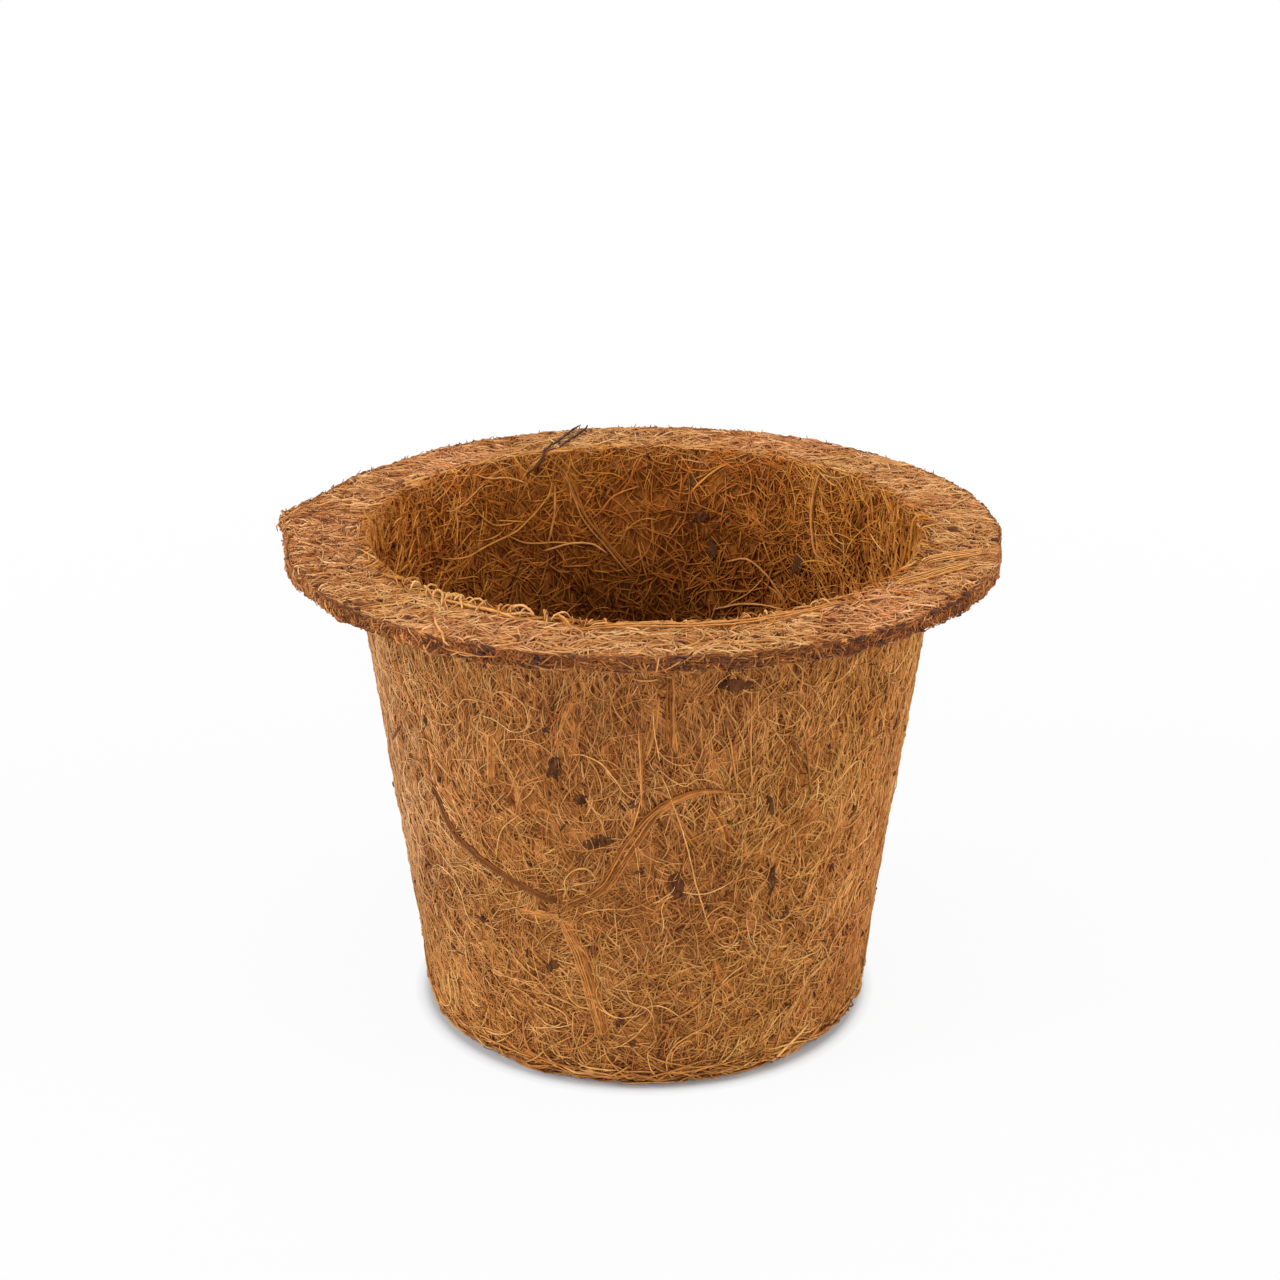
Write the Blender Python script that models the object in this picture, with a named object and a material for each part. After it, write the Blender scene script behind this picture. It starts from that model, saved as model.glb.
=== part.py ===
"""Coir pot: coconut-fibre felt pieces laid up and bonded into a small flanged planting pot, with the
loose strands and husk flakes that lie on its faces.

Metres, +Z up. The origin is the middle of the foot, and the front of the pot faces -Y.
Angles are in degrees about +Z: 0 is the right side, 90 the back, 180 the left and -90 the front.
"""

import math

import bmesh
import bpy
from mathutils import Vector

MM = 0.001

# Whole pot
POT_HEIGHT = 68.6 * MM
FOOT_RADIUS = 29.2 * MM
FOOT_SWELL = 1.2 * MM  # how far outside the foot the wall's slope meets the floor
WALL_TOP_RADIUS = 38.6 * MM  # outside, under the flange
FLANGE_OVERHANG = 8.9 * MM  # from the wall's top to the rim, which is 95.0 mm across

# Felt
SLEEVE_THICKNESS = 1.3 * MM
SLEEVE_EDGE = 0.7 * MM  # rounding of the sleeve's lower corner
LINING_THICKNESS = 0.9 * MM
LINING_FLOOR = 1.0 * MM
LIP_HEIGHT = 0.9 * MM  # how far the lining's top stands above the flange
FLANGE_THICKNESS = 2.0 * MM
SEAT_DEPTH = 0.6 * MM  # of the step in the flange's underside that takes the sleeve's top edge
BASE_THICKNESS = 1.6 * MM
BASE_EDGE = 0.5 * MM
BOND_GAP = 0.3 * MM  # between any two bonded pieces

# Flats cut in the rim: at what angle, and how deep into its circle
RIM_TRIMS = ((-16, 1.0 * MM), (-163, 0.8 * MM), (139, 1.1 * MM))

# Strands and flakes
STRAND = 0.5 * MM
FINE_STRAND = 0.35 * MM
STRAP_WIDTH = 1.4 * MM
STRAP_THICKNESS = 0.4 * MM
FLAKE_THICKNESS = 0.4 * MM
FLAKE_RAGGED = 0.12  # how uneven a flake's outline is
STRAND_FROM_RIM = 1.5 * MM  # from the end of a strand to the rim
STRAND_FROM_LIP = 0.3 * MM  # from the side of a strand to the lip

# Fineness
TURN_STEPS = 96
STRAND_STEP = 3.0 * MM
STRAND_BEVEL_STEPS = 1
FLAKE_CORNERS = 9
SHARP_ANGLE = math.radians(40)
MERGE = 0.001 * MM

# Colours
OUTER_FELT = (0.445, 0.171, 0.045)
INNER_FELT = (0.305, 0.115, 0.026)
RIM_FELT = (0.515, 0.223, 0.076)
PALE_STRAND = (0.610, 0.283, 0.080)
DARK_STRAND = (0.050, 0.022, 0.017)
HUSK = (0.071, 0.026, 0.017)
FELT_ROUGHNESS = 0.9
STRAND_ROUGHNESS = 0.6

# Worked out from the sizes above
RIM_RADIUS = WALL_TOP_RADIUS + FLANGE_OVERHANG
WALL_FOOT_RADIUS = FOOT_RADIUS + FOOT_SWELL
FLANGE_TOP = POT_HEIGHT - LIP_HEIGHT
FLANGE_UNDERSIDE = FLANGE_TOP - FLANGE_THICKNESS
SEAT_TOP = FLANGE_UNDERSIDE + SEAT_DEPTH
SLEEVE_TOP = SEAT_TOP - BOND_GAP
SLEEVE_BOTTOM = BASE_THICKNESS + BOND_GAP
WALL_SLOPE = (WALL_TOP_RADIUS - WALL_FOOT_RADIUS) / FLANGE_UNDERSIDE


def wall_radius(height):
    """Outside radius of the wall sleeve."""
    return WALL_FOOT_RADIUS + WALL_SLOPE * height


def lining_outside(height):
    return wall_radius(height) - SLEEVE_THICKNESS - BOND_GAP


def lining_inside(height):
    return lining_outside(height) - LINING_THICKNESS


def flange_bore():
    """Radius of the hole that the lining's top comes up through."""
    return lining_outside(FLANGE_TOP) + BOND_GAP


def polar(angle, radius, height):
    turn = math.radians(angle)
    return Vector((radius * math.cos(turn), radius * math.sin(turn), height))


def on_upper_wall(angle, drop, lift):
    """A point this far below the flange, lifted off the outer wall."""
    height = FLANGE_UNDERSIDE - drop
    return polar(angle, wall_radius(height) + lift, height)


def on_lower_wall(angle, height, lift):
    """A point this far above the floor, lifted off the outer wall."""
    return polar(angle, wall_radius(height) + lift, height)


def on_inside_wall(angle, drop, lift):
    """A point this far below the lip, lifted off the inside wall."""
    height = POT_HEIGHT - drop
    return polar(angle, lining_inside(height) - lift, height)


def out_from_lip(angle, away, lift):
    """A point on the flange's top, this far out from its hole."""
    return polar(angle, flange_bore() + away, FLANGE_TOP + lift)


def across_flange(angle, share, lift):
    """A point on the flange's top, by its share of the way from the lip to where strands end."""
    inner = flange_bore() + STRAND_FROM_LIP + STRAND
    outer = RIM_RADIUS - STRAND_FROM_RIM
    return polar(angle, inner + share * (outer - inner), FLANGE_TOP + lift)


def new_material(name, colour, roughness):
    made = bpy.data.materials.new(name)
    made.use_nodes = True
    shader = made.node_tree.nodes["Principled BSDF"]
    shader.inputs["Base Color"].default_value = (*colour, 1)
    shader.inputs["Roughness"].default_value = roughness
    shader.inputs["Metallic"].default_value = 0
    return made


def new_object(name, data, finish, parent):
    data.materials.append(finish)
    made = bpy.data.objects.new(name, data)
    made.parent = parent
    bpy.context.scene.collection.objects.link(made)


def smooth_mesh(name, shape):
    """A mesh of this shape that faces out and is shaded smooth except at its corners."""
    bmesh.ops.recalc_face_normals(shape, faces=shape.faces)
    mesh = bpy.data.meshes.new(name)
    shape.to_mesh(mesh)
    shape.free()
    mesh.shade_smooth()
    mesh.set_sharp_from_angle(angle=SHARP_ANGLE)
    return mesh


def turned(outline, ring):
    """Spins an outline of (radius, height) points about +Z. A ring's outline is closed."""
    shape = bmesh.new()
    corners = [shape.verts.new((radius, 0, height)) for radius, height in outline]
    pairs = list(zip(corners, corners[1:]))
    if ring:
        pairs.append((corners[-1], corners[0]))
    edges = [shape.edges.new(pair) for pair in pairs]
    bmesh.ops.spin(
        shape,
        geom=corners + edges,
        cent=(0, 0, 0),
        axis=(0, 0, 1),
        dvec=(0, 0, 0),
        angle=math.tau,
        steps=TURN_STEPS,
        use_merge=True,
    )
    bmesh.ops.remove_doubles(shape, verts=shape.verts, dist=MERGE)
    return shape


def base_disc():
    """The bottom felt, whose edge shows under the wall."""
    outline = (
        (0, BASE_THICKNESS),
        (FOOT_RADIUS - BASE_EDGE, BASE_THICKNESS),
        (FOOT_RADIUS, BASE_THICKNESS - BASE_EDGE),
        (FOOT_RADIUS, 0),
        (0, 0),
    )
    return turned(outline, ring=False)


def wall_sleeve():
    """The outer wall felt, which stands on the base disc."""
    corner = SLEEVE_BOTTOM + SLEEVE_EDGE
    outline = (
        (wall_radius(SLEEVE_TOP) - SLEEVE_THICKNESS, SLEEVE_TOP),
        (wall_radius(SLEEVE_TOP), SLEEVE_TOP),
        (wall_radius(corner), corner),
        (wall_radius(SLEEVE_BOTTOM) - SLEEVE_EDGE, SLEEVE_BOTTOM),
        (wall_radius(SLEEVE_BOTTOM) - SLEEVE_THICKNESS, SLEEVE_BOTTOM),
    )
    return turned(outline, ring=True)


def inner_lining():
    """The inner felt cup, whose top edge comes up through the flange as the lip."""
    floor_top = SLEEVE_BOTTOM + LINING_FLOOR
    outline = (
        (0, floor_top),
        (lining_inside(floor_top), floor_top),
        (lining_inside(POT_HEIGHT), POT_HEIGHT),
        (lining_outside(POT_HEIGHT), POT_HEIGHT),
        (lining_outside(SLEEVE_BOTTOM), SLEEVE_BOTTOM),
        (0, SLEEVE_BOTTOM),
    )
    return turned(outline, ring=False)


def trimmed_radius(angle):
    """The rim's radius at an angle in radians, with the flats cut off its circle."""
    radius = RIM_RADIUS
    for where, depth in RIM_TRIMS:
        towards = math.cos(angle - math.radians(where))
        if towards > 0:
            radius = min(radius, (RIM_RADIUS - depth) / towards)
    return radius


def rim_flange():
    """The flat ring seated on the wall's top edge, with its rim trimmed."""
    seat_radius = wall_radius(SLEEVE_TOP) + BOND_GAP
    outline = (
        (flange_bore(), FLANGE_TOP),
        (RIM_RADIUS, FLANGE_TOP),
        (RIM_RADIUS, FLANGE_UNDERSIDE),
        (seat_radius, FLANGE_UNDERSIDE),
        (seat_radius, SEAT_TOP),
        (flange_bore(), SEAT_TOP),
    )
    shape = turned(outline, ring=True)
    halfway = (flange_bore() + RIM_RADIUS) / 2
    for corner in shape.verts:
        if corner.co.xy.length > halfway:
            radius = trimmed_radius(math.atan2(corner.co.y, corner.co.x))
            corner.co.xy = corner.co.xy.normalized() * radius
    return shape


def path_on(face, points, lift):
    """A smooth path on a face, through points of (angle, distance) or (angle, distance, extra lift)."""
    marks = [Vector((*point, 0)[:3]) for point in points]
    padded = [2 * marks[0] - marks[1], *marks, 2 * marks[-1] - marks[-2]]
    spots = []
    for before, start, end, after in zip(padded, padded[1:], padded[2:], padded[3:]):
        steps = max(1, round((face(*end) - face(*start)).length / STRAND_STEP))
        for step in range(steps):
            t = step / steps
            bend = (2 * before - 5 * start + 4 * end - after) * t**2
            turn = (3 * start - before - 3 * end + after) * t**3
            spots.append(0.5 * (2 * start + (end - before) * t + bend + turn))
    spots.append(marks[-1])
    return [face(angle, distance, lift + extra) for angle, distance, extra in spots]


def strand(name, face, points, thickness):
    """A round strand with closed ends, lying on a face."""
    path = path_on(face, points, BOND_GAP + thickness / 2)
    curve = bpy.data.curves.new(name, "CURVE")
    curve.dimensions = "3D"
    curve.bevel_depth = thickness / 2
    curve.bevel_resolution = STRAND_BEVEL_STEPS
    curve.use_fill_caps = True
    spline = curve.splines.new("POLY")
    spline.points.add(len(path) - 1)
    for point, spot in zip(spline.points, path):
        point.co = (*spot, 1)
    return curve


def strap(name, face, points):
    """A flat bundle of fibres lying on a face."""
    under = path_on(face, points, BOND_GAP)
    over = path_on(face, points, BOND_GAP + STRAP_THICKNESS)
    shape = bmesh.new()
    rings = []
    for i, (low, high) in enumerate(zip(under, over)):
        along = under[min(i + 1, len(under) - 1)] - under[max(i - 1, 0)]
        side = along.cross(high - low).normalized() * STRAP_WIDTH / 2
        corners = (low - side, low + side, high + side, high - side)
        rings.append([shape.verts.new(corner) for corner in corners])
    for first, second in zip(rings, rings[1:]):
        for i in range(len(first)):
            j = (i + 1) % len(first)
            shape.faces.new((first[i], first[j], second[j], second[i]))
    shape.faces.new(rings[0])
    shape.faces.new(rings[-1])
    return smooth_mesh(name, shape)


def flake(name, face, angle, distance, length, width, turn):
    """A thin husk flake on a face, its length turned this many degrees from level."""
    radius = face(angle, distance, 0).xy.length
    cos_turn, sin_turn = math.cos(math.radians(turn)), math.sin(math.radians(turn))
    shape = bmesh.new()
    under, over = [], []
    for i in range(FLAKE_CORNERS):
        around = math.tau * i / FLAKE_CORNERS
        ragged = 1 + FLAKE_RAGGED * math.cos(3 * around)
        u = ragged * length / 2 * math.cos(around)
        v = ragged * width / 2 * math.sin(around)
        level = u * cos_turn - v * sin_turn
        upright = u * sin_turn + v * cos_turn
        where = (angle + math.degrees(level / radius), distance + upright)
        under.append(shape.verts.new(face(*where, BOND_GAP)))
        over.append(shape.verts.new(face(*where, BOND_GAP + FLAKE_THICKNESS)))
    shape.faces.new(under)
    shape.faces.new(over)
    for i in range(FLAKE_CORNERS):
        j = (i + 1) % FLAKE_CORNERS
        shape.faces.new((under[i], under[j], over[j], over[i]))
    return smooth_mesh(name, shape)


def add_felt(parent):
    outer = new_material("outer_felt", OUTER_FELT, FELT_ROUGHNESS)
    inner = new_material("inner_felt", INNER_FELT, FELT_ROUGHNESS)
    rim = new_material("rim_felt", RIM_FELT, FELT_ROUGHNESS)
    for make, finish in (
        (base_disc, outer),
        (wall_sleeve, outer),
        (inner_lining, inner),
        (rim_flange, rim),
    ):
        new_object(make.__name__, smooth_mesh(make.__name__, make()), finish, parent)


def add_strands(parent):
    pale = new_material("pale_strand", PALE_STRAND, STRAND_ROUGHNESS)
    dark = new_material("dark_strand", DARK_STRAND, STRAND_ROUGHNESS)
    beside_lip = STRAND_FROM_LIP + STRAND / 2
    over_strap = STRAP_THICKNESS + BOND_GAP

    # The dark forked pair over the back of the rim, and the strands on its right side
    fork_long = ((112, 0), (108.5, 0.45), (104, 1))
    fork_short = ((108, 0.05), (105, 0.45), (101.5, 0.9))
    right_upper = ((-23, 0), (-18.5, 0.35), (-13, 0.95))
    right_lower = ((-36, 0.05), (-28, 0.4), (-20, 0.85))
    for name, points, finish in (
        ("dark_rim_fibre_long", fork_long, dark),
        ("dark_rim_fibre_short", fork_short, dark),
        ("right_rim_strand_upper", right_upper, pale),
        ("right_rim_strand_lower", right_lower, pale),
    ):
        new_object(name, strand(name, across_flange, points, STRAND), finish, parent)

    # Strands along the lip at the front, by how far out from the flange's hole they run
    lip_left = ((-131, beside_lip), (-121, beside_lip), (-113, beside_lip + 0.6 * MM))
    lip_front = ((-103, beside_lip + 1.5 * MM), (-93, beside_lip), (-70, beside_lip), (-50, beside_lip))
    for name, points in (("lip_strand_left", lip_left), ("lip_strand_front", lip_front)):
        new_object(name, strand(name, out_from_lip, points, STRAND), pale, parent)

    # Strands on the outer wall, by how far below the flange they lie
    dark_leg = (
        (-140.5, 23.8 * MM),
        (-135.5, 30.0 * MM),
        (-128.8, 33.0 * MM),
        (-119.3, 35.2 * MM),
        (-108.0, 37.6 * MM),
    )
    strap_leg = (
        (-104.8, 37.0 * MM),
        (-98.3, 34.2 * MM),
        (-93.0, 28.2 * MM),
        (-87.5, 23.1 * MM),
        (-80.0, 20.5 * MM),
        (-72.5, 20.8 * MM),
    )
    pale_line = (
        (-88.1, 17.0 * MM),
        (-86.6, 18.3 * MM, over_strap),
        (-84.7, 22.0 * MM, over_strap),
        (-82.2, 26.7 * MM, over_strap / 2),
        (-80.5, 31.2 * MM),
        (-77.8, 37.2 * MM),
        (-75.0, 41.8 * MM),
    )
    upright = ((-85.4, 4.0 * MM), (-85.1, 14.5 * MM))
    for name, points, thickness, finish in (
        ("dark_wall_strand", dark_leg, STRAND, dark),
        ("pale_wall_strand", pale_line, FINE_STRAND, pale),
        ("upright_wall_strand", upright, STRAND, pale),
    ):
        new_object(name, strand(name, on_upper_wall, points, thickness), finish, parent)
    new_object("flat_wall_strap", strap("flat_wall_strap", on_upper_wall, strap_leg), pale, parent)

    # The thick strand down the inside of the back wall, by how far below the lip it lies
    inside = ((108.6, 3.1 * MM), (104.8, 10.0 * MM), (99.4, 14.7 * MM), (92.1, 20.2 * MM))
    name = "inner_wall_strand"
    new_object(name, strand(name, on_inside_wall, inside, STRAND), pale, parent)


def add_flakes(parent):
    """Each flake is placed by its angle, distance, length, width and turn."""
    husk = new_material("husk", HUSK, FELT_ROUGHNESS)
    below_flange = (
        (-108.0, 17.9 * MM, 3.4 * MM, 2.0 * MM, 75),
        (-102.8, 21.8 * MM, 2.2 * MM, 1.5 * MM, 30),
        (-99.8, 27.8 * MM, 4.0 * MM, 2.2 * MM, 10),
        (-83.4, 34.1 * MM, 4.2 * MM, 2.4 * MM, 80),
        (-61.6, 35.4 * MM, 4.2 * MM, 1.4 * MM, 85),
        (-63.9, 23.7 * MM, 3.4 * MM, 1.0 * MM, 110),
        (-73.2, 6.0 * MM, 4.4 * MM, 1.8 * MM, -10),
    )
    above_floor = (
        (-111.2, 18.3 * MM, 2.0 * MM, 1.6 * MM, 60),
        (-95.7, 10.8 * MM, 2.6 * MM, 1.2 * MM, 85),
    )
    below_lip = (
        (73.3, 15.7 * MM, 3.4 * MM, 1.6 * MM, 100),
        (76.5, 10.8 * MM, 2.8 * MM, 1.3 * MM, 10),
        (78.6, 5.4 * MM, 2.8 * MM, 1.4 * MM, 70),
        (50.4, 15.2 * MM, 3.2 * MM, 1.8 * MM, 80),
    )
    outside = [(on_upper_wall, *numbers) for numbers in below_flange]
    outside += [(on_lower_wall, *numbers) for numbers in above_floor]
    inside = [(on_inside_wall, *numbers) for numbers in below_lip]
    for family, flakes in (("wall_husk_flake", outside), ("inner_husk_flake", inside)):
        for i, numbers in enumerate(flakes, start=1):
            name = f"{family}_{i}"
            new_object(name, flake(name, *numbers), husk, parent)


def main():
    for old in list(bpy.data.objects):
        bpy.data.objects.remove(old)
    pot = bpy.data.objects.new("coir_pot", None)
    bpy.context.scene.collection.objects.link(pot)
    add_felt(pot)
    add_strands(pot)
    add_flakes(pot)


main()
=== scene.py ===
"""Coir pot: the felt of a small flanged planting pot, with the fibres, strands and husk flakes in it.

Lengths are in millimetres until a mesh is made. Angles are about +Z: 0 is the right side, 90 the back,
180 the left and -90 the front. A place on the pot's skin is an angle and a distance along the pot's
profile, which runs from the middle of the floor inside, up over the lip, across the flange and down
the outer wall to the middle of the foot.
"""

import math
from dataclasses import dataclass
from functools import partial

import bmesh
import bpy
import numpy as np
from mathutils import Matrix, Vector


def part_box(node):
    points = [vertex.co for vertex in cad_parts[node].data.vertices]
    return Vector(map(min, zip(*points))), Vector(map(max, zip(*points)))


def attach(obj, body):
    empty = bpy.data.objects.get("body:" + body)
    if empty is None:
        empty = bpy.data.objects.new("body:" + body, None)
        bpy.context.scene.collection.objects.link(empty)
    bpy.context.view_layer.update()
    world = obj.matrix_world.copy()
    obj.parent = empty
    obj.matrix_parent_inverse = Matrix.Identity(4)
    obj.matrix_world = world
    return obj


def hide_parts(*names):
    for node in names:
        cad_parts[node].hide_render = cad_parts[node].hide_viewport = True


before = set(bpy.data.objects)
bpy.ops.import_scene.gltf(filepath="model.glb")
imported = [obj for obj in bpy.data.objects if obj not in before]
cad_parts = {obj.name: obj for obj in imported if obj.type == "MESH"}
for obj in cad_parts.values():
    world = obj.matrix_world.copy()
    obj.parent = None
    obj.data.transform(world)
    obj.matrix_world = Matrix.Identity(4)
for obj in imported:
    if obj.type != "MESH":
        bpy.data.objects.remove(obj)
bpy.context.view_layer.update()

SCENE = bpy.context.scene
MM = 0.001
RNG = np.random.default_rng(63)


def node_box(node):
    """Lowest and highest corner of a node, in millimetres."""
    return [np.array(corner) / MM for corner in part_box(node)]


# Sizes of the pot, read from the frame
(_, _, FLANGE_LOW), (_, RIM_RADIUS, FLANGE_TOP) = node_box("rim_flange")
(_, _, SLEEVE_LOW), (WALL_TOP_RADIUS, _, SLEEVE_TOP) = node_box("wall_sleeve")
_, (LIP_RADIUS, _, LIP_TOP) = node_box("inner_lining")
_, (FOOT_RADIUS, _, BASE_TOP) = node_box("base_disc")

# Sizes that the frame's boxes don't give
FOOT_SWELL = 1.2
SLEEVE_THICK = 1.3
LINING_THICK = 0.9
LINING_FLOOR = 1
BOND_GAP = 0.3
FLOOR_CORNER = 4
SKIN_CLEARANCE = 0.05  # between the skin and the ground
FIBRE_CLEARANCE = 0.02  # between the lowest fibres and the ground
LIP_PRESSED = 0.8  # how far the lip is pressed down
LEFT_PRESSED = 0.5  # how far the left of the outer wall is pressed in near its foot
PRESSED_BELOW = 70
PRESSED_FADE = 60
LIP_CROWN = LIP_TOP - LIP_PRESSED
WALL_FOOT_RADIUS = FOOT_RADIUS + FOOT_SWELL
WALL_SLOPE = (WALL_TOP_RADIUS - WALL_FOOT_RADIUS) / SLEEVE_TOP
FLOOR_TOP = SLEEVE_LOW + LINING_FLOOR

# The camera, and where its aim shows in the photo's frame
IMAGE = 1280
CAMERA_DISTANCE = 344.62
CAMERA_RISE = math.radians(23.601)
CAMERA_ANGLE = math.radians(28.745)
AIM_HEIGHT = 34
AIM_PIXEL = (644.36, 759.89)

# Lumps in the felt: how wide and how high the large and the small ones are
LUMPS = ((8, 0.2), (2.6, 0.09))

# Straight cuts in the rim: the angle of the middle in degrees, and the depth there
RIM_CUTS = ((-7.8, 0.65), (11, 0.4))

# Worn and frayed places in the rim: angle in degrees, how far out, and how many degrees wide
RIM_CHANGES = (
    (-172, -0.4, 8), (157, -0.7, 9), (139, -0.9, 12), (173.5, 1.9, 3),
    (75, 0.7, 9), (-60, 0.4, 12), (-110, 0.4, 10),
)
RIM_WAVE = 0.16
RIM_WAVES = 9

# How a strand looks: width, lift and tint, and for a flat one its number of threads and their spread
THIN = (0.18, 0.28, 0.6)
THICK = (0.22, 0.28, 0.55)
BROWN = (0.3, 0.26, 0.34)
DARK = (0.32, 0.2, 0.12)
FLAT = (0.26, 0.2, 0.4, 3, 0.6)
BROAD = (0.25, 0.13, 0.44, 9, 1.9)
BLACK = (0.5, 0.2, 0.04, 2, 0.6)
SPECK = (0.4, 0.1, 0.04, 2, 0.45)
BORDER = (0.28, 0.24, 0.14, 2, 0.4)
STREAK = (0.22, 0.1, 0.25)
INNER = (0.34, 0.3, 0.5)
INNER_PALE = (0.34, 0.32, 0.57)
NEEDLE = (0.26, 0.4, 0.0)
LIP_LOOP = (0.34, 0.6, 0.62)
LIP_TAIL = (0.34, 0.32, 0.6)

# Strands that can be told apart in the photo: how each looks, and the pixels it passes through
WALL_STRANDS = {
    "arc": (THIN, (567, 756), (582, 754), (600, 762), (611, 774), (623, 791), (637, 801)),
    "arc_end": (THIN, (641, 797), (635, 821), (629, 840), (623, 850)),
    "left_stem": (BROWN, (543, 770), (549, 803), (560, 829), (566, 852), (578, 866)),
    "short_upright": (THIN, (653, 707), (655, 731), (660, 762)),
    "right_upright": (THICK, (727, 727), (733, 762), (738, 791)),
    "far_upright": (THICK, (751, 707), (750, 742), (751, 791)),
    "wave": (THIN, (655, 776), (659, 768), (672, 778), (684, 785), (696, 778), (711, 780), (725, 791)),
    "right_hook": (THIN, (782, 874), (792, 877), (799, 864), (794, 850)),
    "left_curl": (THIN, (498, 856), (502, 834), (509, 823), (520, 814)),
    "under_rim": (THICK, (629, 677), (643, 680), (660, 678)),
    "below_strap": (THIN, (633, 838), (637, 860), (641, 893)),
    "ribbon": (BROAD, (562, 917), (576, 945), (587, 973), (593, 995), (601, 1024), (605, 1040)),
    "ring": (THIN, (711, 934), (716, 920), (727, 917), (737, 928), (733, 942), (722, 945), (712, 936)),
    "low_hook": (THICK, (671, 1070), (674, 1051), (688, 1040), (694, 1046)),
    "low_bend": (THIN, (542, 1001), (565, 1012), (570, 1029)),
    "low_sweep": (BROWN, (663, 1023), (694, 1007), (725, 981), (750, 968)),
    "left_streak": (STREAK, (394, 652), (405, 684), (420, 720), (427, 745), (430, 783)),
    "left_fleck": (DARK, (400, 727), (396, 733), (392, 741)),
    "middle_flat": (FLAT, (640, 725), (642, 768), (644, 812)),
    "right_line": (BROWN, (804, 736), (808, 789)),
    "upper_black": (BLACK, (446, 818), (455, 832), (463, 843)),
    "lower_black": (BLACK, (469, 845), (479, 855)),
    "high_speck": (SPECK, (545, 724), (547, 735)),
    "middle_speck": (SPECK, (626, 807), (637, 803)),
    "strap_speck": (SPECK, (634, 876), (646, 868)),
    "line_speck": (SPECK, (688, 843), (690, 860)),
    "right_speck": (SPECK, (831, 862), (832, 874)),
    "low_right_speck": (SPECK, (768, 909), (769, 922)),
    "far_low_speck": (SPECK, (785, 1008), (792, 1002)),
    "left_speck": (SPECK, (479, 917), (486, 924)),
    "far_left_speck": (SPECK, (451, 943), (454, 949)),
    "low_left_speck": (SPECK, (528, 948), (530, 959)),
    "foot_speck": (SPECK, (627, 1046), (637, 1042)),
    "corner_speck": (SPECK, (494, 1046), (502, 1048)),
    "strap_border": (
        BORDER, (565, 906), (583, 900), (601, 890), (617, 868), (637, 843), (652, 820), (668, 800),
    ),
}
LINING_STRANDS = {
    "upright": (INNER, (555, 484), (554, 514), (547, 546)),
    "arch": (INNER_PALE, (542, 551), (569, 543), (590, 543), (609, 554)),
    "right_arch": (INNER, (724, 562), (748, 559), (767, 575), (786, 602)),
    "low_level": (INNER_PALE, (711, 610), (735, 605), (762, 605), (786, 610)),
    "right_upright": (INNER, (820, 471), (812, 508), (815, 549), (826, 562)),
    "left_level": (INNER, (472, 474), (488, 478), (510, 478), (528, 484)),
    "left_rise": (INNER, (445, 511), (456, 508), (483, 484)),
    "needle": (NEEDLE, (586, 595), (581, 606), (575, 619)),
}
RIM_STRANDS = {
    "front_bend": (LIP_TAIL, (435, 619), (437, 629), (449, 642)),
    "left_tail": (LIP_TAIL, (404, 580), (419, 586), (433, 598)),
    "left_loop": (LIP_LOOP, (432, 601), (437, 596), (443, 600), (441, 607)),
    "right_loop": (LIP_LOOP, (445, 603), (451, 597), (460, 602), (462, 611)),
}

# The floor's grey, and where it starts to turn white, nearly is, and wholly is
FLOOR_GREY = 0.52
CONTACT_START = FOOT_RADIUS + 1.1
CONTACT_END = FOOT_RADIUS + 2.9
NEARLY_WHITE = 0.93
FLOOR_FADE = 300
SKY_STRENGTH = 0.38

# Fibre colours, from the darkest husk to the palest new fibre
RAMP_AT = (0, 0.25, 0.5, 0.75, 1)
RAMP = np.array((
    (0.055, 0.020, 0.011),
    (0.225, 0.065, 0.010),
    (0.430, 0.164, 0.039),
    (0.580, 0.282, 0.086),
    (0.720, 0.420, 0.168),
))
PLAIN = np.array((1, 1, 1))
# The inside's hue: darker and more saturated, partly its own colour, partly painted shade of the shaded
# inside
INNER_HUE = np.array((1, 0.85, 0.5))
RIM_HUE = np.array((1.02, 1.05, 1.28))
# Painted shade in the fibres' tints: darker sides beside the ridge, darker where sunk, and redder as it
# darkens
SIDE_SHADE = 0.5  # how dark a fibre's sides are beside its ridge
SHADE_POWER = np.array((0.9, 1.2, 1.5))  # shaded fibre turns redder as light is lost between fibres
SUNK_SHADE = 0.8  # how much darker a fibre gets for each millimetre that it lies sunk
FULLY_LIT = 0.3  # lift above which a fibre gets no paler
TINT_PATCHES = ((9, 0.09), (3.2, 0.07))  # how wide the darker and paler patches are, and how strong
RED_PATCHES = ((14, 0.08),)
RED_SPREAD = 0.03
RED_DRIFT = np.array((0.3, -0.6, 0.4))  # how each colour band follows the redder places

# The wall's left with painted sheen, paler and cooler: its hue, its middle and width in degrees, and the
# height where it is half done
LEFT_SHEEN_HUE = np.array((1, 1.2, 1.6))
LEFT_SHEEN_AT = -158
LEFT_SHEEN_WIDTH = 28
LEFT_SHEEN_HEIGHT = 16

# How fibres grow: how unlike they are, how a bend carries on, how uneven they lie, how thin they end
LENGTH_SPREAD = 0.4
WIDTH_SPREAD = 0.22
BEND_KEPT = 0.8
BEND_NEW = 0.6
UNEVEN = 0.03
END_TAPER = 0.55

# The wall's fibres run every way below this height and this near to the front, in degrees
LOOSE_BELOW = 50
BELOW_FADE = 26
LOOSE_NEAR = 75
NEAR_FADE = 30

# The felt's ground: how deep and how rough it lies under the fibres, and how its matted patches rise
GROUND_TURNS = 320
GROUND_STEP = 0.8
GROUND_SUNK = 0.22
GROUND_ROUGH = 0.12
GROUND_GRAIN = 0.9
MATTED_WIDE = 3.5
MATTED_CONTRAST = 1.6
MATTED_FROM = 0.2
MATTED_RISE = 0.13

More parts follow.
